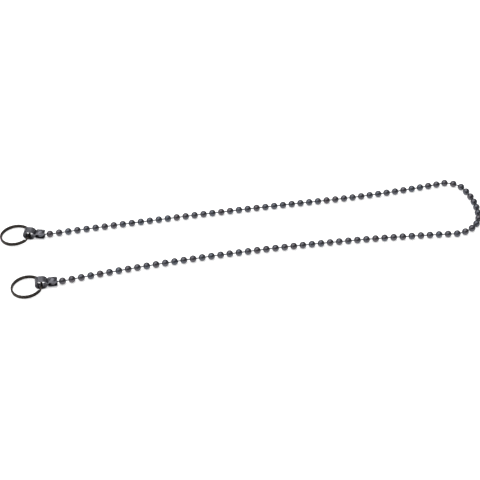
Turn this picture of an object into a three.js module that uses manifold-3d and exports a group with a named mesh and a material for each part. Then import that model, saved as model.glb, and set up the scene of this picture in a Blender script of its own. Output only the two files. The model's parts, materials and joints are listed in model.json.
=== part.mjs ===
// Ball chain, laid in a U on a table, with a folded clasp and a split ring at each end.
// Millimetres, Z up. The origin is under the middle of the chain, at table height.
//
// The beads are threaded on short links with a round head at each end. Three beads and their
// links make one run here, and four make the last. A run starts with a hollow bead, which holds
// the head of the link before it, so the chain bends there as the real one does.
import * as THREE from 'three';
import { mergeVertices } from 'three/addons/utils/BufferGeometryUtils.js';
import Module from 'manifold-3d';

const wasm = await Module();
wasm.setup();

// Beads and links
const BEAD_COUNT = 103;
const RUN_COUNT = 34;
const BEAD_PITCH = 4.17;
const BEAD_DIAMETER = 3.2;
const BEAD_WALL = 0.2;
const BEAD_HOLE_DIAMETER = 1.16;
const LINK_DIAMETER = 0.6;
const LINK_HEAD_DIAMETER = 1.4;
const LINK_HEAD_PLAY = 0.12;

// Clasps: one strip folded round into a long eye, pinched at a neck, and opened again into two
// straight arms that are cupped over the end bead
const STRIP_WIDTH = 3.6;
const STRIP_THICKNESS = 0.4;
const EYE_DIAMETER = 4.5;
const EYE_STRAIGHT = 1.1;
const EYE_TO_BEAD = 5.7;
const NECK_GAP = 0.5;
const ARM_GAP = 1.8;
const ARM_BEND_RADIUS = 0.5;
const ARM_HEEL = 2.45;
const ARM_REACH = 1.9;
const CUP_PLAY = 0.15;

// Split rings: two turns of one wire
const RING_OUTER_DIAMETER = 14;
const RING_WIRE_WIDTH = 0.85;
const RING_WIRE_HEIGHT = 0.68;
const RING_WIRE_EDGE = 0.18;
const RING_TURN_GAP = 0.06;
const RING_JOG_ANGLE = 24;
const RING_JOG_PLACE = -32;
const RING_STEPS = 46;

// The lay of the chain: how many links in each stretch, and how far each link turns from the last
const FIRST_HEADING = 1.8;
const STRETCHES = [
  { links: 31, turn: -0.1 },
  { links: 14, turn: 0.5 },
  { links: 3, turn: -26.3 },
  { links: 5, turn: -6.4 },
  { links: 5, turn: -16.3 },
  { links: 44, turn: 0.3 },
];

// How each end lies: the way that the clasp and the ring point, the clasp's roll, and how far the
// ring's wire lies below the middle of the eye and in from it towards the beads
const FAR_END = { claspHeading: 163, ringHeading: 170, roll: 0, ringDrop: 0.5, ringInset: 0.55 };
const NEAR_END = { claspHeading: 176, ringHeading: 184, roll: 0, ringDrop: 0.6, ringInset: 0.75 };

const BEAD_SIDES = 8;
const BALL_SIDES = 16;
const BALL_BANDS = 10;
const BEND_SEGMENTS = 2;
const FULL_TURN = 360;

const beadRadius = BEAD_DIAMETER / 2;
const beadHollow = beadRadius - BEAD_WALL;
const holeRadius = BEAD_HOLE_DIAMETER / 2;
const linkRadius = LINK_DIAMETER / 2;
const headRadius = LINK_HEAD_DIAMETER / 2;
const eyeRadius = EYE_DIAMETER / 2;
const cupHollow = beadRadius + CUP_PLAY;
const ringRadius = (RING_OUTER_DIAMETER - RING_WIRE_WIDTH) / 2;
const ringStack = 2 * RING_WIRE_HEIGHT + RING_TURN_GAP;

// A polygon with n sides reaches this much farther at its corners than at its flats
const cornerReach = (sides) => 1 / Math.cos(Math.PI / sides);

// Half the flat length of a band round a ball's middle, for a profile with BEAD_SIDES sides
const bandHalf = (radius) => radius * Math.tan(Math.PI / BEAD_SIDES);

// How far from a ball's centre its surface is cut by a hole of the given radius
const holeDepth = (radius, hole) => Math.sqrt(radius ** 2 - hole ** 2);

// A link's head sits inside a bead, against the rim of the hole
const headSeat = holeDepth(beadHollow, holeRadius) - holeDepth(headRadius, holeRadius) - LINK_HEAD_PLAY;

const beadMetal = { color: 0x3e4149, metalness: 0.9, roughness: 0.34 };
const claspMetal = { color: 0x55565a, metalness: 0.9, roughness: 0.3 };
const ringMetal = { color: 0x3a3836, metalness: 0.9, roughness: 0.38 };

const radians = THREE.MathUtils.degToRad;
const UP = new THREE.Vector3(0, 0, 1);

function flatDirection(heading) {
  return new THREE.Vector3(Math.cos(radians(heading)), Math.sin(radians(heading)), 0);
}

// Centre and reach of one section, square to a direction, as a loop of points with flats on the
// top, the bottom and both sides
function section(centre, direction, radius) {
  const side = new THREE.Vector3().crossVectors(UP, direction).normalize();
  const up = new THREE.Vector3().crossVectors(direction, side);
  const loop = [];
  for (let corner = 0; corner < BEAD_SIDES; corner += 1) {
    const angle = (2 * Math.PI * (corner + 0.5)) / BEAD_SIDES;
    const reach = radius * cornerReach(BEAD_SIDES);
    const point = centre.clone();
    point.addScaledVector(side, reach * Math.cos(angle));
    point.addScaledVector(up, reach * Math.sin(angle));
    loop.push(point);
  }
  return loop;
}

// A closed skin over a row of loops, with a flat cap over the first and the last
function loft(loops) {
  const size = loops[0].length;
  const positions = loops.flat().flatMap((point) => point.toArray());
  const index = [];
  for (let row = 0; row + 1 < loops.length; row += 1) {
    for (let corner = 0; corner < size; corner += 1) {
      const next = (corner + 1) % size;
      const a = row * size + corner;
      const b = row * size + next;
      index.push(a, b, b + size, a, b + size, a + size);
    }
  }
  const last = (loops.length - 1) * size;
  for (let corner = 1; corner + 1 < size; corner += 1) {
    index.push(0, corner + 1, corner);
    index.push(last, last + corner, last + corner + 1);
  }
  const geometry = new THREE.BufferGeometry();
  geometry.setAttribute('position', new THREE.Float32BufferAttribute(positions, 3));
  geometry.setIndex(index);
  return geometry;
}

function toSolid(geometry) {
  const bare = geometry.clone();
  bare.deleteAttribute('normal');
  bare.deleteAttribute('uv');
  const merged = mergeVertices(bare);
  return new wasm.Manifold(new wasm.Mesh({
    numProp: 3,
    vertProperties: new Float32Array(merged.attributes.position.array),
    triVerts: new Uint32Array(merged.index.array),
  }));
}

function toGeometry(solid) {
  const { vertProperties, triVerts } = solid.getMesh();
  const geometry = new THREE.BufferGeometry();
  geometry.setAttribute('position', new THREE.Float32BufferAttribute(vertProperties, 3));
  geometry.setIndex(Array.from(triVerts));
  return geometry;
}

function metalMesh(name, geometry, metal) {
  const mesh = new THREE.Mesh(geometry, new THREE.MeshStandardMaterial(metal));
  mesh.name = name;
  geometry.computeVertexNormals();
  return mesh;
}

// Height of a clasp's middle line when its eye lies on the table, rolled by the given angle
function claspHeight(roll) {
  const angle = Math.abs(radians(roll));
  return eyeRadius * Math.cos(angle) + (STRIP_WIDTH / 2) * Math.sin(angle);
}

// Centres of all the beads, from the far clasp to the near one. The beads lie on the table, and
// the first and last are lifted by their clasps.
function layBeads() {
  const heights = new Array(BEAD_COUNT).fill(beadRadius);
  heights[0] = claspHeight(FAR_END.roll);
  heights[BEAD_COUNT - 1] = claspHeight(NEAR_END.roll);
  const turns = STRETCHES.flatMap((stretch) => new Array(stretch.links).fill(stretch.turn));
  const centres = [new THREE.Vector3(0, 0, heights[0])];
  let heading = FIRST_HEADING;
  for (let bead = 1; bead < BEAD_COUNT; bead += 1) {
    const rise = heights[bead] - heights[bead - 1];
    const step = flatDirection(heading).multiplyScalar(Math.sqrt(BEAD_PITCH ** 2 - rise ** 2));
    step.z = rise;
    centres.push(centres[bead - 1].clone().add(step));
    heading += turns[bead - 1] ?? 0;
  }
  return centres;
}

const beads = layBeads();

// The way that the link after a bead points. The last bead has no link after it.
function linkDirection(bead) {
  const start = Math.min(Math.max(bead, 0), BEAD_COUNT - 2);
  return beads[start + 1].clone().sub(beads[start]).normalize();
}

const along = (bead, direction, distance) => beads[bead].clone().addScaledVector(direction, distance);

// Sections of a closed bead, from one pole to the other. Each half follows its own link. A bead
// on the table has its flats on the ball's size. A bead in a clasp has its corners there, so that
// it turns freely in the cups.
function beadSections(bead) {
  const inClasp = bead === 0 || bead === BEAD_COUNT - 1;
  const radius = inClasp ? beadRadius / cornerReach(BEAD_SIDES) ** 2 : beadRadius;
  const before = linkDirection(bead - 1);
  const after = linkDirection(bead);
  const pole = holeDepth(radius, linkRadius);
  return [
    section(along(bead, before, -pole), before, linkRadius),
    section(along(bead, before, -bandHalf(radius)), before, radius),
    section(along(bead, after, bandHalf(radius)), after, radius),
    section(along(bead, after, pole), after, linkRadius),
  ];
}

// Sections of the hollow bead that starts a run: along the inside to the rim of its hole, and
// back over the outside
function socketSections(bead) {
  const before = linkDirection(bead - 1);
  const innerRim = holeDepth(beadHollow, holeRadius);
  const outerRim = holeDepth(beadRadius, holeRadius);
  return [
    section(along(bead, before, innerRim), before, holeRadius),
    section(along(bead, before, bandHalf(beadHollow)), before, beadHollow),
    section(along(bead, before, -bandHalf(beadHollow)), before, beadHollow),
    section(along(bead, before, -innerRim), before, holeRadius),
    section(along(bead, before, -outerRim), before, holeRadius),
    ...beadSections(bead).slice(1),
  ];
}

// Sections of the head on the end of the link before a bead
function headSections(bead) {
  const before = linkDirection(bead - 1);
  const centre = along(bead, before, -headSeat);
  const at = (distance, radius) => section(centre.clone().addScaledVector(before, distance), before, radius);
  const neck = holeDepth(headRadius, linkRadius) * Math.cos(Math.PI / BEAD_SIDES);
  return [
    at(-neck, linkRadius),
    at(-bandHalf(headRadius), headRadius),
    at(bandHalf(headRadius), headRadius),
    at(neck, linkRadius),
  ];
}

const firstBead = (run) => Math.floor((run * BEAD_COUNT) / RUN_COUNT);

function runGeometry(run) {
  const first = firstBead(run);
  const end = firstBead(run + 1);
  const loops = run > 0 ? socketSections(first) : beadSections(first);
  for (let bead = first + 1; bead < end; bead += 1) {
    loops.push(...beadSections(bead));
  }
  if (end < BEAD_COUNT) {
    loops.push(...headSections(end));
  }
  return loft(loops);
}

// A run's own origin is the link head that it turns on: in its first bead, or for the far half of
// the chain the one on its last link. Its own X points along that link.
const middleRun = Math.floor(RUN_COUNT / 2);

function makeRun(run) {
  const bead = run > middleRun ? firstBead(run) : Math.min(firstBead(run + 1), BEAD_COUNT - 1);
  const before = linkDirection(bead - 1);
  const pivot = along(bead, before, -headSeat);
  const heading = Math.atan2(before.y, before.x);
  const geometry = runGeometry(run);
  geometry.translate(-pivot.x, -pivot.y, -pivot.z);
  geometry.rotateZ(-heading);
  const mesh = metalMesh(`chain_run_${String(run + 1).padStart(2, '0')}`, geometry, beadMetal);
  mesh.position.copy(pivot);
  mesh.rotation.z = heading;
  return mesh;
}

// A strip folded back on itself: round in an eye, past a narrow neck, and open again in two arms
// that are dished to hold the end bead between them. The clasp's own origin is the centre of the
// bead, and its eye lies along -X.
function claspGeometry() {
  const bar = (fromX, toX, height, bend, width) => {
    const left = fromX + bend;
    const right = toX - bend;
    const top = height / 2 - bend;
    const quarter = Math.PI / 2;
    const outline = new THREE.Shape()
      .absarc(right, -top, bend, -quarter, 0)
      .absarc(right, top, bend, 0, quarter)
      .absarc(left, top, bend, quarter, 2 * quarter)
      .absarc(left, -top, bend, 2 * quarter, 3 * quarter);
    const options = { depth: width, bevelEnabled: false, curveSegments: BEND_SEGMENTS };
    const geometry = new THREE.ExtrudeGeometry(outline, options);
    geometry.rotateX(quarter);
    return toSolid(geometry.translate(0, width / 2, 0));
  };
  const box = (fromX, toX, height, width) => {
    const geometry = new THREE.BoxGeometry(toX - fromX, width, height);
    return toSolid(geometry.translate((fromX + toX) / 2, 0, 0));
  };
  const ball = (radius) => {
    const geometry = new THREE.SphereGeometry(radius, BALL_SIDES, BALL_BANDS);
    return toSolid(geometry.rotateX(Math.PI / 2));
  };
  // The eye, the neck, the arms and the cups, all drawn in from the strip's outside by an inset
  const folds = (inset, width) => {
    const eyeBend = eyeRadius - inset;
    const armBend = ARM_BEND_RADIUS + STRIP_THICKNESS - inset;
    const spare = 2 * (STRIP_THICKNESS - inset);
    return bar(-EYE_TO_BEAD - eyeBend, EYE_STRAIGHT - EYE_TO_BEAD + eyeBend, 2 * eyeBend, eyeBend, width)
      .add(box(-EYE_TO_BEAD, 0, NECK_GAP + spare, width))
      .add(bar(inset - ARM_HEEL, 2 * ARM_REACH, ARM_GAP + spare, armBend, width))
      .add(ball(cupHollow + STRIP_THICKNESS - inset));
  };
  const clear = 2 * STRIP_WIDTH;
  const beyondTips = box(ARM_REACH, 3 * ARM_REACH, EYE_DIAMETER, clear);
  return toGeometry(folds(0, STRIP_WIDTH).subtract(folds(STRIP_THICKNESS, clear).add(beyondTips)));
}

function makeClasp(name, bead, end) {
  const mesh = metalMesh(name, claspGeometry(), claspMetal);
  mesh.position.copy(beads[bead]);
  mesh.rotation.set(radians(end.roll), 0, radians(end.claspHeading + 180), 'ZYX');
  return mesh;
}

// Two turns of one wire about Z, one on the other. The wire steps up between them over a short
// jog, and its ends stop on either side of the jog.
function splitRingGeometry() {
  const level = (RING_WIRE_HEIGHT + RING_TURN_GAP) / 2;
  const jogStart = FULL_TURN - RING_JOG_ANGLE / 2;
  const jogEnd = FULL_TURN + RING_JOG_ANGLE / 2;
  const start = jogEnd - FULL_TURN;
  const end = jogStart + FULL_TURN;
  const halfWidth = RING_WIRE_WIDTH / 2;
  const halfHeight = RING_WIRE_HEIGHT / 2;
  const outline = [
    [halfWidth, RING_WIRE_EDGE - halfHeight],
    [halfWidth - RING_WIRE_EDGE, -halfHeight],
    [RING_WIRE_EDGE - halfWidth, -halfHeight],
    [-halfWidth, RING_WIRE_EDGE - halfHeight],
    [-halfWidth, halfHeight - RING_WIRE_EDGE],
    [RING_WIRE_EDGE - halfWidth, halfHeight],
    [halfWidth - RING_WIRE_EDGE, halfHeight],
    [halfWidth, halfHeight - RING_WIRE_EDGE],
  ];
  const loops = [];
  for (let step = 0; step <= RING_STEPS; step += 1) {
    const angle = start + ((end - start) * step) / RING_STEPS;
    const rise = THREE.MathUtils.clamp((angle - jogStart) / RING_JOG_ANGLE, 0, 1);
    const height = level * (2 * rise - 1);
    const outward = flatDirection(angle + RING_JOG_PLACE);
    loops.push(outline.map(([across, up]) => {
      const point = outward.clone().multiplyScalar(ringRadius + across);
      point.z = height + up;
      return point;
    }));
  }
  return loft(loops);
}

// The ring's own origin is the centre of the clasp's eye. Its wire lies low in the eye, and its
// free side lies on the table.
function makeRing(name, clasp, end) {
  const eye = new THREE.Vector3(-EYE_TO_BEAD, 0, 0).applyMatrix4(clasp.matrixWorld);
  const span = 2 * ringRadius;
  const tilt = Math.asin((eye.z - end.ringDrop - ringStack / 2) / span);
  const geometry = splitRingGeometry();
  geometry.translate(-ringRadius, 0, 0);
  geometry.rotateY(-tilt);
  geometry.translate(end.ringInset, 0, -end.ringDrop);
  const mesh = metalMesh(name, geometry, ringMetal);
  mesh.position.copy(eye);
  mesh.rotation.z = radians(end.ringHeading + 180);
  return mesh;
}

const chain = new THREE.Group();
for (let run = 0; run < RUN_COUNT; run += 1) {
  chain.add(makeRun(run));
}
const ends = [
  { side: 'far', bead: 0, lay: FAR_END },
  { side: 'near', bead: BEAD_COUNT - 1, lay: NEAR_END },
];
for (const { side, bead, lay } of ends) {
  const clasp = makeClasp(`clasp_${side}`, bead, lay);
  clasp.updateMatrixWorld();
  chain.add(clasp, makeRing(`split_ring_${side}`, clasp, lay));
}

const bounds = new THREE.Box3().setFromObject(chain, true);
const middle = bounds.getCenter(new THREE.Vector3());
chain.position.set(-middle.x, -middle.y, -bounds.min.z);

export default chain;
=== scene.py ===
"""Dark ball chain with an end clasp and a split ring at each end, laid in a U on white paper.

The beads are rolled from sheet over the heads of short links. Each clasp is one strip folded round
into an eye, and each ring is two turns of one flattened wire. Each piece stands on its solid in the
frame and moves with that solid's body. Lengths are in metres.
"""

import json
import math

import bpy
import numpy as np
from bpy.props import FloatProperty, FloatVectorProperty, IntProperty, PointerProperty
from mathutils import Matrix, Vector


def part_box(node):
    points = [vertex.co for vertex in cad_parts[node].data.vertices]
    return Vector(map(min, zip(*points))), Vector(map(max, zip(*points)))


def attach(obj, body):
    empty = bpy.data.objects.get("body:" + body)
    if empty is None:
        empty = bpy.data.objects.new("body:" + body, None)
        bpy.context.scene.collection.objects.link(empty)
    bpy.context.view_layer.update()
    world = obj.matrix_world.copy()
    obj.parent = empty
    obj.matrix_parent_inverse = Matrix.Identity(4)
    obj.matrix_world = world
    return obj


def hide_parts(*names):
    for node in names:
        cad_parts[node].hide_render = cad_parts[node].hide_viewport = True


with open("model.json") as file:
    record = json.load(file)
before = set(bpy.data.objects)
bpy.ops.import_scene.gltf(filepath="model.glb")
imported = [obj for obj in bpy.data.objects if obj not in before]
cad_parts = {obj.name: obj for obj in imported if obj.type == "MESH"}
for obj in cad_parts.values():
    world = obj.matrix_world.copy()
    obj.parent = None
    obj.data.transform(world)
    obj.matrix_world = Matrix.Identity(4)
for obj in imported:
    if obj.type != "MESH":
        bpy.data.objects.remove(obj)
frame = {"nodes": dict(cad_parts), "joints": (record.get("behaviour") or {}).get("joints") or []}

bl_info = {
    "name": "Ball Chain",
    "version": (1, 0, 0),
    "blender": (4, 5, 0),
    "location": "3D View > Sidebar > Ball Chain",
    "description": "Builds a plated ball chain with folded clasps and split rings",
    "category": "Add Mesh",
}

MM = 0.001
UP = Vector((0, 0, 1))
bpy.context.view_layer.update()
JOINTS = {joint["name"]: joint for joint in frame["joints"]}
RUN_NAMES = sorted(name for name in frame["nodes"] if name.startswith("chain_run"))

# The lay of the chain: the number of links in each stretch, and how many degrees each link turns
# from the one before it
FIRST_HEADING = 1.8
STRETCHES = ((31, -0.1), (14, 0.5), (3, -26.3), (5, -6.4), (5, -16.3), (44, 0.3))

# How each ring lies: its heading in degrees, and how far its wire lies below the middle of the
# clasp's eye and in from it towards the beads
RING_LAYS = {
    "far": {"heading": 170, "drop": 0.5 * MM, "inset": 0.55 * MM},
    "near": {"heading": 184, "drop": 0.6 * MM, "inset": 0.75 * MM},
}

# How far a piece's box may differ from the box of the solid that it replaces, and how far the last
# bead may lie from the near clasp's joint
FIT_LIMIT = 0.6 * MM
REACH_LIMIT = 0.05 * MM


def length(name, description, millimetres):
    """A length setting, shown in the scene's own unit."""
    return FloatProperty(
        name=name,
        description=description,
        default=millimetres * MM,
        min=0,
        precision=5,
        unit="LENGTH",
    )


def colour(name, description, code):
    """A colour setting, from an sRGB hex code."""
    return FloatVectorProperty(
        name=name,
        description=description,
        default=linear(code)[:3],
        subtype="COLOR",
        size=3,
        min=0,
        max=1,
    )


def linear(code):
    """Linear red, green, blue and alpha of an sRGB hex code."""
    parts = [int(code[start : start + 2], 16) / 255 for start in (1, 3, 5)]
    bent = [part / 12.92 if part <= 0.04045 else ((part + 0.055) / 1.055) ** 2.4 for part in parts]
    return (*bent, 1.0)


class BeadSettings(bpy.types.PropertyGroup):
    """Beads and the links between them"""

    count: IntProperty(name="Beads", description="Beads in the whole chain", default=103, min=4)
    pitch: length("Pitch", "From the middle of one bead to the middle of the next", 4.17)
    diameter: length("Bead diameter", "Outside diameter of a bead", 3.2)
    wall: length("Bead wall", "Thickness of the sheet that a bead is rolled from", 0.2)
    hole: length("Hole diameter", "Hole at each pole of a bead", 1.16)
    seam_width: length("Seam width", "Width of the joint where the rolled sheet meets", 0.14)
    seam_depth: length("Seam depth", "Depth of the joint where the rolled sheet meets", 0.05)
    link_diameter: length("Link diameter", "Diameter of a link's neck", 0.6)
    head_diameter: length("Head diameter", "Diameter of the round head at each end of a link", 1.4)
    head_play: length("Head play", "Room between a link's head and the rim of its hole", 0.12)
    neck_round: length("Neck round", "Radius of the hollow where a neck runs into a head", 0.12)


class ClaspSettings(bpy.types.PropertyGroup):
    """Clasps, each folded from one strip"""

    width: length("Strip width", "Width of the strip", 3.6)
    thickness: length("Strip thickness", "Thickness of the strip", 0.4)
    eye_diameter: length("Eye diameter", "Outside diameter of the eye's two round ends", 4.5)
    eye_straight: length("Eye straight", "Length of the eye's straight sides", 1.1)
    neck_gap: length("Neck gap", "Room between the two sides of the strip at the neck", 0.5)
    arm_gap: length("Arm gap", "Room between the two arms", 1.8)
    arm_bend: length("Arm bend", "Inside radius of the bend from the neck into an arm", 0.5)
    arm_heel: length("Arm heel", "How far the arms start behind the middle of the end bead", 2.45)
    arm_reach: length("Arm reach", "How far the arms reach past the middle of the end bead", 1.9)
    cup_play: length("Cup play", "Room between the end bead and the cups in the arms", 0.15)
    cup_edge: length("Cup edge", "How softly a cup runs out into its arm", 0.12)
    tip_round: length("Tip round", "Radius of the corners at an arm's tip", 0.8)
    edge_round: length("Edge round", "Radius of the strip's rubbed edges", 0.1)


class RingSettings(bpy.types.PropertyGroup):
    """Split rings, each two turns of one wire"""

    diameter: length("Ring diameter", "Outside diameter of a ring", 14)
    wire_width: length("Wire width", "Width of the flattened wire, across the ring", 0.85)
    wire_height: length("Wire height", "Height of the flattened wire", 0.68)
    wire_round: length("Wire round", "Radius of the wire's corners", 0.24)
    turn_gap: length("Turn gap", "Room between the two turns", 0.06)


class FinishSettings(bpy.types.PropertyGroup):
    """Colours of the plating"""

    bead_cool: colour("Bead, cool", "Plating of the beads where it is bluest", "#565A62")
    bead_warm: colour("Bead, warm", "Plating of the beads where it is warmest", "#5B575B")
    link: colour("Link", "Plating of the links", "#686A70")
    clasp: colour("Clasp", "Plating of the clasps", "#5A5A60")
    clasp_rubbed: colour("Clasp, rubbed", "Plating of the clasps where it is rubbed", "#74747A")
    ring: colour("Ring", "Plating of the rings", "#2C2825")
    ring_rubbed: colour("Ring, rubbed", "Plating of the rings where it is rubbed", "#3C3733")


class StageSettings(bpy.types.PropertyGroup):
    """Paper, lamps and camera"""

    paper: colour("Paper", "Colour of the paper", "#F4F4F4")
    azimuth: FloatProperty(
        name="Azimuth",
        description="Camera's direction round the chain",
        default=math.radians(-11),
        subtype="ANGLE",
    )
    elevation: FloatProperty(
        name="Elevation",
        description="Camera's angle above the paper",
        default=math.radians(39.07),
        subtype="ANGLE",
    )
    distance: length("Distance", "From the camera to the point that it looks at", 616.9)
    view_angle: FloatProperty(
        name="View angle",
        description="Angle that the camera takes in",
        default=math.radians(20),
        subtype="ANGLE",
    )


def revolve(profile, angles, sunk=None):
    """Turns a profile round the X axis.

    Each row of the profile is a place along the axis, a radius and a 1 or 0. A closed profile
    starts and ends on the same row, and an open one starts and ends on the axis. Sunk holds, for
    each angle, how far the rows with a 1 lie in from their radius.
    """
    along, out, seamed = profile.T
    depth = np.zeros(len(angles)) if sunk is None else sunk
    radius = out[:, None] - seamed[:, None] * depth[None, :]
    places = np.broadcast_to(along[:, None], radius.shape)
    points = np.stack([places, radius * np.cos(angles), radius * np.sin(angles)], axis=-1)
    rows, turns = radius.shape
    closed = np.allclose(profile[0], profile[-1])
    faces = []
    if closed:
        points = points[:-1]
        rows -= 1
    for row in range(rows if closed else rows - 1):
        here, after = row * turns, (row + 1) % rows * turns
        for turn in range(turns):
            ahead = (turn + 1) % turns
            faces.append((here + turn, here + ahead, after + ahead, after + turn))
    points = points.reshape(-1, 3)
    if closed:
        return points, faces
    return close_poles(points, faces, rows, turns)


def close_poles(points, faces, rows, turns):
    """Draws the first and the last row of a turned form together into one point each."""
    kept = points[turns - 1 : (rows - 1) * turns + 1]
    last = len(kept) - 1

    def moved(index):
        return min(max(index - (turns - 1), 0), last)

    drawn = []
    for face in faces:
        corners = list(dict.fromkeys(moved(index) for index in face))
        if len(corners) > 2:
            drawn.append(tuple(corners))
    return kept, drawn


def mesh_object(name, parts, materials):
    """One object from several parts, each with its points, faces and material number."""
    points, faces, slots = [], [], []
    for part_points, part_faces, slot in parts:
        start = sum(len(done) for done in points)
        points.append(part_points)
        faces += [tuple(start + index for index in face) for face in part_faces]
        slots += [slot] * len(part_faces)
    mesh = bpy.data.meshes.new(name)
    mesh.from_pydata(np.concatenate(points).tolist(), [], faces)
    mesh.polygons.foreach_set("material_index", slots)
    for material in materials:
        mesh.materials.append(material)
    mesh.shade_smooth()
    mesh.update()
    made = bpy.data.objects.new(name, mesh)
    bpy.context.scene.collection.objects.link(made)
    return made


def seat(piece, node):
    """Lets a piece stand for the solid of the same place, and move with that solid's body."""
    low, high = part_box(node)
    corners = [piece.matrix_world @ vertex.co for vertex in piece.data.vertices]
    for axis in range(3):
        reach = [corner[axis] for corner in corners]
        if max(abs(min(reach) - low[axis]), abs(max(reach) - high[axis])) > FIT_LIMIT:
            raise RuntimeError(f"{piece.name} does not lie where {node} is")
    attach(piece, node)
    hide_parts(node)


def place(points, matrix):
    """Points moved by a matrix."""
    turn = np.array(matrix.to_3x3())
    return points @ turn.T + np.array(matrix.translation)


def axes_matrix(origin, forward, up):
    """A place whose X axis points forward and whose Z axis is as near to up as it can be."""
    x = forward.normalized()
    y = up.cross(x).normalized()
    z = x.cross(y)
    matrix = Matrix((x, y, z)).transposed().to_4x4()
    matrix.translation = origin
    return matrix


def joint_place(name):
    """Where a joint is."""
    return Vector(JOINTS[name]["pos_m"])


def joint_axis(name):
    """The way that a joint's axis points."""
    return Vector(JOINTS[name]["axis"]).normalized()


def flat_direction(heading):
    """The level direction with a heading in degrees."""
    return Vector((math.cos(math.radians(heading)), math.sin(math.radians(heading)), 0))


def lay_beads(beads):
    """Middles of all the beads, from the far clasp to the near one."""
    first = joint_place("clasp_far_swing")
    last = joint_place("clasp_near_swing")
    turns = [turn for links, turn in STRETCHES for _ in range(links)]
    middles = [first]
    heading = FIRST_HEADING
    for bead in range(1, beads.count):
        height = last.z if bead == beads.count - 1 else beads.diameter / 2
        rise = height - middles[-1].z
        step = flat_direction(heading) * math.sqrt(beads.pitch**2 - rise**2) + UP * rise
        middles.append(middles[-1] + step)
        heading += turns[bead - 1]
    if (middles[-1] - last).length > REACH_LIMIT:
        raise RuntimeError("The chain does not reach its near clasp")
    return middles


def bead_axes(middles):
    """The way that each bead points: between the links on its two sides."""
    ways = [(after - before).normalized() for before, after in zip(middles, middles[1:])]
    inner = [(before + after).normalized() for before, after in zip(ways, ways[1:])]
    return [ways[0], *inner, ways[-1]]


# How far each bead is rolled on from the one before it, in degrees, so that the seams lie every way
ROLL_STEP = 137.5

# How finely the beads and links are drawn: sides round the axis, and steps along each stretch
BEAD_SIDES = 44
LINK_SIDES = 24
OUTSIDE_STEPS = 27
INSIDE_STEPS = 15
RIM_STEPS = 7
HEAD_STEPS = 13
NECK_ROUND_STEPS = 5

# Places across a bead's seam, as shares of its half width
SEAM_PLACES = (-1.0, -0.55, -0.2, 0.2, 0.55, 1.0)


def arc(middle, radius, start, end, steps):
    """Points on an arc, as places along the axis and radii, with angles from the X axis."""
    angles = np.radians(np.linspace(start, end, steps))
    along = middle[0] + radius * np.cos(angles)
    out = middle[1] + radius * np.sin(angles)
    return np.stack([along, out], axis=-1)


def bead_profile(beads):
    """Section of a bead's sheet: over the outside, round a rim, along the inside, round a rim."""
    outer = beads.diameter / 2
    half = beads.wall / 2
    middle = outer - half
    pole = math.degrees(math.asin((beads.hole / 2 + half) / middle))
    over = arc((0, 0), outer, pole, 180 - pole, OUTSIDE_STEPS)
    under = arc((0, 0), outer - beads.wall, 180 - pole, pole, INSIDE_STEPS)
    rim = flat_direction(pole) * middle
    far_rim = arc((-rim.x, rim.y), half, 180 - pole, 360 - pole, RIM_STEPS)[1:-1]
    near_rim = arc((rim.x, rim.y), half, 180 + pole, 360 + pole, RIM_STEPS)[1:]
    rows = np.concatenate([over, far_rim, under, near_rim])
    seamed = np.zeros(len(rows))
    seamed[: len(over)] = 1
    seamed[-1] = 1
    return np.column_stack([rows, seamed])


def seam_angles(beads):
    """Angles round a bead, closer together at its seam, and how far the sheet is sunk at each."""
    half = beads.seam_width / beads.diameter
    near = np.array(SEAM_PLACES) * half
    rest = np.linspace(half, 2 * math.pi - half, BEAD_SIDES)[1:-1]
    sunk = beads.seam_depth * np.cos(near / half * math.pi / 2) ** 2
    return np.concatenate([near, rest]), np.concatenate([sunk, np.zeros(len(rest))])


def link_profile(beads):
    """Section of a link: a round head, a neck that swells into it, and the other head."""
    head = beads.head_diameter / 2
    neck = beads.link_diameter / 2
    middle = beads.pitch / 2 - head_seat(beads)
    hollow = beads.neck_round
    turn = math.degrees(math.asin((neck + hollow) / (head + hollow)))
    foot = (head + hollow) * math.cos(math.radians(turn))
    end = arc((-middle, 0), head, 180, turn, HEAD_STEPS)
    fillet = arc((foot - middle, neck + hollow), hollow, 180 + turn, 270, NECK_ROUND_STEPS)[1:]
    half = np.concatenate([end, fillet])
    whole = np.concatenate([half, half[::-1] * (-1, 1)])
    whole[[0, -1], 1] = 0
    return np.column_stack([whole, np.zeros(len(whole))])


def head_seat(beads):
    """From the middle of a bead to the middle of a link's head that hangs in it."""
    hole = beads.hole / 2
    rim = math.sqrt((beads.diameter / 2 - beads.wall) ** 2 - hole**2)
    return rim - math.sqrt((beads.head_diameter / 2) ** 2 - hole**2) - beads.head_play


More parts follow.
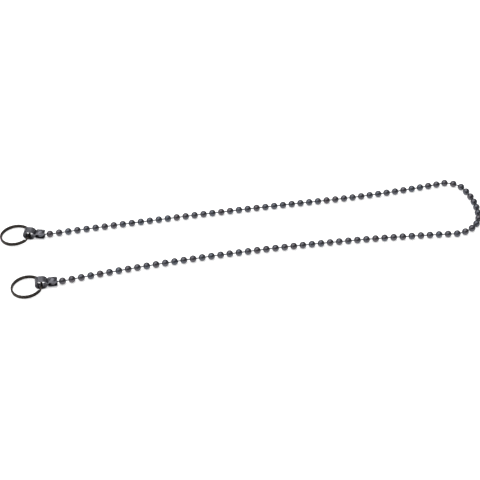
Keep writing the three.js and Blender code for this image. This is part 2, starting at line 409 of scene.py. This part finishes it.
class BALLCHAIN_OT_thread_beads(bpy.types.Operator):
    """Make the hollow beads and the links that they are threaded on, in runs of three or four"""

    bl_idname = "ballchain.thread_beads"
    bl_label = "Thread Beads"

    def execute(self, context):
        beads = context.scene.ball_chain_beads
        finish = context.scene.ball_chain_finish
        middles = lay_beads(beads)
        axes = bead_axes(middles)
        metals = [rolled_black_nickel(finish), headed_wire(finish)]
        angles, sunk = seam_angles(beads)
        bead_form = revolve(bead_profile(beads), angles, sunk)
        round_link = np.arange(LINK_SIDES) * 2 * math.pi / LINK_SIDES
        link_form = revolve(link_profile(beads), round_link)
        seated = head_seat(beads)
        starts = [run * beads.count // len(RUN_NAMES) for run in range(len(RUN_NAMES) + 1)]
        for name, start, end in zip(RUN_NAMES, starts, starts[1:]):
            parts = []
            for bead in range(start, end):
                rolled = Matrix.Rotation(math.radians(bead * ROLL_STEP), 4, "X")
                matrix = axes_matrix(middles[bead], axes[bead], UP) @ rolled
                parts.append((place(bead_form[0], matrix), bead_form[1], 0))
                if bead + 1 < beads.count:
                    here = middles[bead] + axes[bead] * seated
                    there = middles[bead + 1] - axes[bead + 1] * seated
                    matrix = axes_matrix((here + there) / 2, there - here, UP)
                    parts.append((place(link_form[0], matrix), link_form[1], 1))
            seat(mesh_object(f"{name}_beads", parts, metals), name)
        return {"FINISHED"}


# How finely the clasps are drawn: the step along the strip, the rows across it, how often its
# corners are smoothed, and the steps in each bend
STRIP_STEP = 0.11 * MM
STRIP_ROWS = 25
PATH_SMOOTHING = 6
BEND_STEPS = 12
EYE_STEPS = 60

# The strip's edges are rounded where its faces meet more sharply than this, in degrees
EDGE_ANGLE = 50
EDGE_SEGMENTS = 3


def strip_path(clasp, eye_reach):
    """Middle line of the strip seen edge on, from the upper tip round the eye to the lower one."""
    half = clasp.thickness / 2
    level = clasp.arm_gap / 2 + half
    neck = clasp.neck_gap / 2 + half
    bend = clasp.arm_bend + half
    eye = clasp.eye_diameter / 2 - half
    heel = half - clasp.arm_heel
    shoulder = math.degrees(math.asin(neck / eye))
    upper = np.concatenate([
        [(clasp.arm_reach, level)],
        arc((heel + bend, level - bend), bend, 90, 180, BEND_STEPS),
        [(heel, neck)],
        arc((clasp.eye_straight - eye_reach, 0), eye, shoulder, 90, EYE_STEPS),
        arc((-eye_reach, 0), eye, 90, 180, EYE_STEPS),
    ])
    lower = upper[::-1] * (1, -1)
    return even_steps(np.concatenate([upper, lower[1:]]), STRIP_STEP)


def even_steps(points, step):
    """The same line with its points an even step apart."""
    gaps = np.linalg.norm(np.diff(points, axis=0), axis=1)
    run = np.concatenate([[0], np.cumsum(gaps)])
    places = np.linspace(0, run[-1], round(run[-1] / step) + 1)
    return np.column_stack([np.interp(places, run, column) for column in points.T])


def smooth_line(points, times):
    """The same line with its corners rounded off and its ends kept."""
    for _ in range(times):
        points[1:-1] = (points[:-2] + 2 * points[1:-1] + points[2:]) / 4
    return points


def clasp_sheet(clasp, beads, eye_reach):
    """The middle of the clasp's strip as a grid of points, cupped where it holds the end bead."""
    path = smooth_line(strip_path(clasp, eye_reach), PATH_SMOOTHING)
    run = np.arange(len(path)) * STRIP_STEP
    short = np.clip(clasp.tip_round - np.minimum(run, run[::-1]), 0, None)
    half_width = clasp.width / 2 - clasp.tip_round + np.sqrt(clasp.tip_round**2 - short**2)
    x, z = path.T[:, :, None]
    y = half_width[:, None] * np.linspace(-1, 1, STRIP_ROWS)
    cup = beads.diameter / 2 + clasp.cup_play + clasp.thickness / 2
    level = (clasp.arm_gap + clasp.thickness) / 2
    bulge = np.sqrt(np.clip(cup**2 - x**2 - y**2, 0, None)) - level
    push = (bulge + np.sqrt(bulge**2 + clasp.cup_edge**2)) / 2
    return np.stack([np.broadcast_to(x, y.shape), y, z + np.sign(z) * push], axis=-1)


def thicken(sheet, thickness):
    """A closed skin round a sheet."""
    rows, columns, _ = sheet.shape
    normal = np.cross(np.gradient(sheet, axis=0), np.gradient(sheet, axis=1))
    normal *= thickness / 2 / np.linalg.norm(normal, axis=2, keepdims=True)
    points = np.concatenate([(sheet + normal).reshape(-1, 3), (sheet - normal).reshape(-1, 3)])
    under = rows * columns
    faces = []
    for row in range(rows - 1):
        for column in range(columns - 1):
            a = row * columns + column
            face = (a, a + 1, a + columns + 1, a + columns)
            faces.append(face)
            faces.append(tuple(under + corner for corner in reversed(face)))
    rim = [row * columns for row in range(rows)]
    rim += [(rows - 1) * columns + column for column in range(1, columns)]
    rim += [row * columns + columns - 1 for row in range(rows - 2, -1, -1)]
    rim += list(range(columns - 2, 0, -1))
    for corner, after in zip(rim, rim[1:] + rim[:1]):
        faces.append((corner, after, under + after, under + corner))
    return points, faces


class BALLCHAIN_OT_fold_clasps(bpy.types.Operator):
    """Make the two end clasps, each a strip folded round into an eye and dished over its bead"""

    bl_idname = "ballchain.fold_clasps"
    bl_label = "Fold Clasps"

    def execute(self, context):
        beads = context.scene.ball_chain_beads
        clasp = context.scene.ball_chain_clasps
        metal = folded_nickel_strip(context.scene.ball_chain_finish)
        for side in ("far", "near"):
            bead = joint_place(f"clasp_{side}_swing")
            eye = joint_place(f"split_ring_{side}_swing")
            sheet = clasp_sheet(clasp, beads, (bead - eye).length)
            points, faces = thicken(sheet, clasp.thickness)
            matrix = axes_matrix(bead, bead - eye, joint_axis(f"clasp_{side}_swing"))
            parts = [(place(points, matrix), faces, 0)]
            piece = mesh_object(f"clasp_{side}_strip", parts, [metal])
            rounded = piece.modifiers.new("rubbed_edges", "BEVEL")
            rounded.width = clasp.edge_round
            rounded.segments = EDGE_SEGMENTS
            rounded.limit_method = "ANGLE"
            rounded.angle_limit = math.radians(EDGE_ANGLE)
            seat(piece, f"clasp_{side}")
        return {"FINISHED"}


# How finely the rings are drawn: the steps along the whole wire, and round each of its corners
RING_STEPS = 260
WIRE_CORNER_STEPS = 5

# Over how many degrees the wire climbs from one turn to the next, and how far round the ring it
# does so from the side that lies in the clasp
JOG_ANGLE = 24
JOG_PLACE = -32

# How the wire's cut is blunted: the share of its section that is left, and how far on it lies
CUT_ROWS = ((0.93, 0.04 * MM), (0.8, 0.06 * MM))


def wire_outline(ring):
    """Section of the flattened wire, with rounded corners, as distances across and up."""
    half_width = ring.wire_width / 2 - ring.wire_round
    half_height = ring.wire_height / 2 - ring.wire_round
    corners = [(1, -1, -90), (1, 1, 0), (-1, 1, 90), (-1, -1, 180)]
    arcs = []
    for x, y, start in corners:
        middle = (x * half_width, y * half_height)
        arcs.append(arc(middle, ring.wire_round, start, start + 90, WIRE_CORNER_STEPS))
    return np.concatenate(arcs)


def wind_ring(ring):
    """Two turns of the wire round the Z axis, one on the other, with a jog between them."""
    middle = (ring.diameter - ring.wire_width) / 2
    level = (ring.wire_height + ring.turn_gap) / 2
    jog_start = 360 - JOG_ANGLE / 2
    start = JOG_ANGLE / 2
    angles = np.linspace(start, jog_start + 360, RING_STEPS)
    rise = np.clip((angles - jog_start) / JOG_ANGLE, 0, 1)
    # A soft S from the lower turn to the upper one
    heights = level * (2 * rise * rise * (3 - 2 * rise) - 1)
    outline = wire_outline(ring)
    rows = []
    for angle, height in zip(angles, heights):
        outward = np.array(flat_direction(angle + JOG_PLACE))
        rows.append(outward * (middle + outline[:, :1]) + np.array(UP) * (height + outline[:, 1:]))
    ends = [blunt_end(rows[0], rows[0] - rows[1]), blunt_end(rows[-1], rows[-1] - rows[-2])]
    rows = [*ends[0][::-1], *rows, *ends[1]]
    count = len(outline)
    faces = []
    for row in range(len(rows) - 1):
        for corner in range(count):
            ahead = (corner + 1) % count
            a = row * count
            b = a + count
            faces.append((a + corner, b + corner, b + ahead, a + ahead))
    faces.append(tuple(range(count)))
    faces.append(tuple(range(len(rows) * count - 1, (len(rows) - 1) * count - 1, -1)))
    return np.concatenate(rows), faces


def blunt_end(row, onward):
    """Two more rows past the end of the wire, which round off its cut."""
    middle = row.mean(axis=0)
    way = onward.mean(axis=0)
    way /= np.linalg.norm(way)
    return [middle + (row - middle) * share + way * reach for share, reach in CUT_ROWS]


class BALLCHAIN_OT_wind_rings(bpy.types.Operator):
    """Make the two split rings, each wound from one flattened wire and threaded in its clasp"""

    bl_idname = "ballchain.wind_rings"
    bl_label = "Wind Rings"

    def execute(self, context):
        ring = context.scene.ball_chain_rings
        metal = flattened_spring_wire(context.scene.ball_chain_finish)
        points, faces = wind_ring(ring)
        middle = (ring.diameter - ring.wire_width) / 2
        stack = 2 * ring.wire_height + ring.turn_gap
        for side, lay in RING_LAYS.items():
            eye = joint_place(f"split_ring_{side}_swing")
            tilt = math.asin((eye.z - lay["drop"] - stack / 2) / (2 * middle))
            turned = Matrix.Rotation(math.radians(lay["heading"] + 180), 4, "Z")
            moved = Matrix.Translation((lay["inset"], 0, -lay["drop"]))
            matrix = Matrix.Translation(eye) @ turned @ moved
            matrix = matrix @ Matrix.Rotation(-tilt, 4, "Y") @ Matrix.Translation((-middle, 0, 0))
            parts = [(place(points, matrix), faces, 0)]
            piece = mesh_object(f"split_ring_{side}_wire", parts, [metal])
            seat(piece, f"split_ring_{side}")
        return {"FINISHED"}


# Sockets of a mix node that is set to mix colours
MIX_FACTOR = 0
MIX_A = 6
MIX_B = 7
MIX_RESULT = 2

# The noises of the tone and the grit: how much detail each has, and the part of its range that is
# stretched over the whole of what it drives. The grit's pits are this deep.
TONE_DETAIL = 2.0
TONE_RANGE = (0.35, 0.65)
GRIT_DETAIL = 3.0
GRIT_RANGE = (0.3, 0.7)
PIT_DEPTH = 0.02 * MM

WHITE = (1, 1, 1, 1)


def add_node(tree, kind, settings=(), links=()):
    """Adds a node. Settings give attributes or inputs' values, and links what feeds an input."""
    node = tree.nodes.new(kind)
    for key, value in dict(settings).items():
        if isinstance(key, int) or key in node.inputs:
            node.inputs[key].default_value = value
        else:
            setattr(node, key, value)
    for key, source in dict(links).items():
        tree.links.new(source, node.inputs[key])
    return node


def per_metre(millimetres):
    """The scale of a pattern whose marks are this far apart."""
    return 1 / (millimetres * MM)


def new_material(name):
    """An empty node material and its tree."""
    material = bpy.data.materials.new(name)
    material.use_nodes = True
    material.node_tree.nodes.clear()
    return material, material.node_tree


def plated_metal(name, plain, other, blotch, grit, roughness, bump):
    """Plated metal whose tone wanders between two colours over blotches, with a fine grit.

    Blotch and grit are in millimetres. The real grit is finer, and is drawn as coarse as this so
    that it shows.
    """
    material, tree = new_material(name)
    where = add_node(tree, "ShaderNodeTexCoord").outputs["Object"]
    tone = add_node(
        tree,
        "ShaderNodeTexNoise",
        {"Scale": per_metre(blotch), "Detail": TONE_DETAIL},
        {"Vector": where},
    )
    spread = add_node(
        tree,
        "ShaderNodeMapRange",
        {"From Min": TONE_RANGE[0], "From Max": TONE_RANGE[1]},
        {"Value": tone.outputs["Fac"]},
    )
    base = add_node(
        tree,
        "ShaderNodeMix",
        {"data_type": "RGBA", MIX_A: (*plain, 1), MIX_B: (*other, 1)},
        {MIX_FACTOR: spread.outputs["Result"]},
    )
    grain = add_node(
        tree,
        "ShaderNodeTexNoise",
        {"Scale": per_metre(grit), "Detail": GRIT_DETAIL},
        {"Vector": where},
    )
    rough = add_node(
        tree,
        "ShaderNodeMapRange",
        {
            "From Min": GRIT_RANGE[0],
            "From Max": GRIT_RANGE[1],
            "To Min": roughness[0],
            "To Max": roughness[1],
        },
        {"Value": grain.outputs["Fac"]},
    )
    pits = add_node(
        tree,
        "ShaderNodeBump",
        {"Strength": bump, "Distance": PIT_DEPTH},
        {"Height": grain.outputs["Fac"]},
    )
    metal = add_node(
        tree,
        "ShaderNodeBsdfPrincipled",
        {"Metallic": 1.0},
        {
            "Base Color": base.outputs[MIX_RESULT],
            "Roughness": rough.outputs["Result"],
            "Normal": pits.outputs["Normal"],
        },
    )
    add_node(tree, "ShaderNodeOutputMaterial", {}, {"Surface": metal.outputs["BSDF"]})
    return material


def rolled_black_nickel(finish):
    """Steel sheet rolled into a ball and tumbled, then plated with black nickel.

    The eye sees a dark, half-bright ball with soft highlights, bluer on some beads than on others.
    """
    return plated_metal(
        "rolled_black_nickel",
        finish.bead_cool,
        finish.bead_warm,
        blotch=7,
        grit=0.25,
        roughness=(0.26, 0.4),
        bump=0.25,
    )


def headed_wire(finish):
    """Drawn steel wire with upset heads, plated with black nickel.

    The eye sees a thin line between the beads, a little lighter than they are.
    """
    return plated_metal(
        "headed_wire",
        finish.link,
        finish.link,
        blotch=5,
        grit=0.2,
        roughness=(0.3, 0.42),
        bump=0.2,
    )


def folded_nickel_strip(finish):
    """Steel strip, blanked and folded, plated with black nickel.

    The eye sees a grey with bright spots where the folds turn to the light.
    """
    return plated_metal(
        "folded_nickel_strip",
        finish.clasp,
        finish.clasp_rubbed,
        blotch=2.5,
        grit=0.2,
        roughness=(0.34, 0.5),
        bump=0.3,
    )


def flattened_spring_wire(finish):
    """Spring wire, rolled flat and wound, then plated with black nickel.

    The eye sees a brown-black band, a shade lighter in places.
    """
    return plated_metal(
        "flattened_spring_wire",
        finish.ring,
        finish.ring_rubbed,
        blotch=3,
        grit=0.2,
        roughness=(0.3, 0.4),
        bump=0.1,
    )


# The paper's side in metres, and how much white it adds to the lamps' light where it is seen, so
# that it stays white and keeps the chain's shadow
PAPER_SIZE = 20.0
PAPER_LIFT = 0.58


def white_paper(stage):
    """Matt white paper. The eye sees plain white with only the faint shadow of the chain."""
    material, tree = new_material("white_paper")
    ray = add_node(tree, "ShaderNodeLightPath")
    seen = ray.outputs["Is Camera Ray"]
    for kind in ("Is Glossy Ray", "Is Transmission Ray"):
        rays = {0: seen, 1: ray.outputs[kind]}
        seen = add_node(tree, "ShaderNodeMath", {"operation": "MAXIMUM"}, rays).outputs["Value"]
    lift = add_node(tree, "ShaderNodeMath", {"operation": "MULTIPLY", 1: PAPER_LIFT}, {0: seen})
    matt = add_node(tree, "ShaderNodeBsdfDiffuse", {"Color": (*stage.paper, 1)})
    strength = {"Strength": lift.outputs["Value"]}
    glow = add_node(tree, "ShaderNodeEmission", {"Color": WHITE}, strength)
    lights = {0: matt.outputs["BSDF"], 1: glow.outputs["Emission"]}
    both = add_node(tree, "ShaderNodeAddShader", {}, lights)
    add_node(tree, "ShaderNodeOutputMaterial", {}, {"Surface": both.outputs["Shader"]})
    return material


def soft_lamp(name, aim, azimuth, elevation, distance, size, power):
    """A square lamp at a direction from the point that it lights."""
    data = bpy.data.lights.new(name, "AREA")
    data.shape = "SQUARE"
    data.size = size
    data.energy = power
    lamp = bpy.data.objects.new(name, data)
    back = toward(azimuth, elevation)
    lamp.location = aim + back * distance
    lamp.rotation_euler = (-back).to_track_quat("-Z", "Y").to_euler()
    bpy.context.scene.collection.objects.link(lamp)


def toward(azimuth, elevation):
    """The direction from the middle to a viewer or a lamp, with angles in degrees."""
    around = math.radians(azimuth)
    above = math.radians(elevation)
    level = math.cos(above)
    return Vector((math.sin(around) * level, -math.cos(around) * level, math.sin(above)))


# The point on the paper that the camera looks at, from under the far clasp's bead
AIM_FROM_FIRST_BEAD = Vector((88.31, -18.65, 0)) * MM

# The camera's sensor in millimetres, and how near to it something may be and still show, in metres
SENSOR_WIDTH = 36
CLIP_START = 0.01

# The lamps: where each stands in degrees round the chain and above it, how far off and how wide it
# is in metres, and its power in watts. The room adds a little light from all round.
LAMPS = {
    "window": {"azimuth": -130, "elevation": 74, "distance": 4, "size": 5.5, "power": 200},
    "fill": {"azimuth": -80, "elevation": 25, "distance": 4.5, "size": 3, "power": 38},
}
ROOM_LIGHT = 0.25


class BALLCHAIN_OT_set_stage(bpy.types.Operator):
    """Lay the white paper, set the lamps and stand the camera"""

    bl_idname = "ballchain.set_stage"
    bl_label = "Set Stage"

    def execute(self, context):
        stage = context.scene.ball_chain_stage
        half = PAPER_SIZE / 2
        corners = np.array([(-half, -half, 0), (half, -half, 0), (half, half, 0), (-half, half, 0)])
        paper = mesh_object("paper", [(corners, [(0, 1, 2, 3)], 0)], [white_paper(stage)])
        first = joint_place("clasp_far_swing")
        aim = Vector((first.x, first.y, 0)) + AIM_FROM_FIRST_BEAD
        for name, lamp in LAMPS.items():
            soft_lamp(name, aim, **lamp)
        world = bpy.data.worlds.new("room")
        world.use_nodes = True
        tree = world.node_tree
        tree.nodes.clear()
        air = add_node(tree, "ShaderNodeBackground", {"Color": WHITE, "Strength": ROOM_LIGHT})
        add_node(tree, "ShaderNodeOutputWorld", {}, {"Surface": air.outputs["Background"]})
        context.scene.world = world
        context.scene.view_settings.view_transform = "Standard"
        data = bpy.data.cameras.new("camera")
        data.sensor_width = SENSOR_WIDTH
        data.lens = SENSOR_WIDTH / 2 / math.tan(stage.view_angle / 2)
        data.clip_start = CLIP_START
        camera = bpy.data.objects.new("camera", data)
        back = toward(math.degrees(stage.azimuth), math.degrees(stage.elevation))
        camera.location = aim + back * stage.distance
        camera.rotation_euler = (-back).to_track_quat("-Z", "Y").to_euler()
        context.scene.collection.objects.link(camera)
        context.scene.camera = camera
        return {"FINISHED"}


class BALLCHAIN_PT_panel(bpy.types.Panel):
    """Lists the steps that build the chain"""

    bl_label = "Ball Chain"
    bl_idname = "BALLCHAIN_PT_panel"
    bl_space_type = "VIEW_3D"
    bl_region_type = "UI"
    bl_category = "Ball Chain"

    def draw(self, context):
        for group in SETTINGS:
            box = self.layout.box()
            box.label(text=SETTINGS[group].__doc__)
            settings = getattr(context.scene, group)
            for name in SETTINGS[group].__annotations__:
                box.prop(settings, name)
        for step in STEPS:
            self.layout.operator(step.bl_idname)


SETTINGS = {
    "ball_chain_beads": BeadSettings,
    "ball_chain_clasps": ClaspSettings,
    "ball_chain_rings": RingSettings,
    "ball_chain_finish": FinishSettings,
    "ball_chain_stage": StageSettings,
}
STEPS = (
    BALLCHAIN_OT_thread_beads,
    BALLCHAIN_OT_fold_clasps,
    BALLCHAIN_OT_wind_rings,
    BALLCHAIN_OT_set_stage,
)


def register():
    """Adds the settings, the steps and the panel."""
    for settings in SETTINGS.values():
        bpy.utils.register_class(settings)
    for step in (*STEPS, BALLCHAIN_PT_panel):
        bpy.utils.register_class(step)
    for name, settings in SETTINGS.items():
        setattr(bpy.types.Scene, name, PointerProperty(type=settings))


def unregister():
    """Takes the settings, the steps and the panel away."""
    for name in SETTINGS:
        delattr(bpy.types.Scene, name)
    for made in (BALLCHAIN_PT_panel, *reversed(STEPS), *reversed(SETTINGS.values())):
        bpy.utils.unregister_class(made)


def main():
    """Builds the chain and its stage."""
    register()
    bpy.ops.ballchain.thread_beads()
    bpy.ops.ballchain.fold_clasps()
    bpy.ops.ballchain.wind_rings()
    bpy.ops.ballchain.set_stage()


if __name__ == "__main__":
    main()
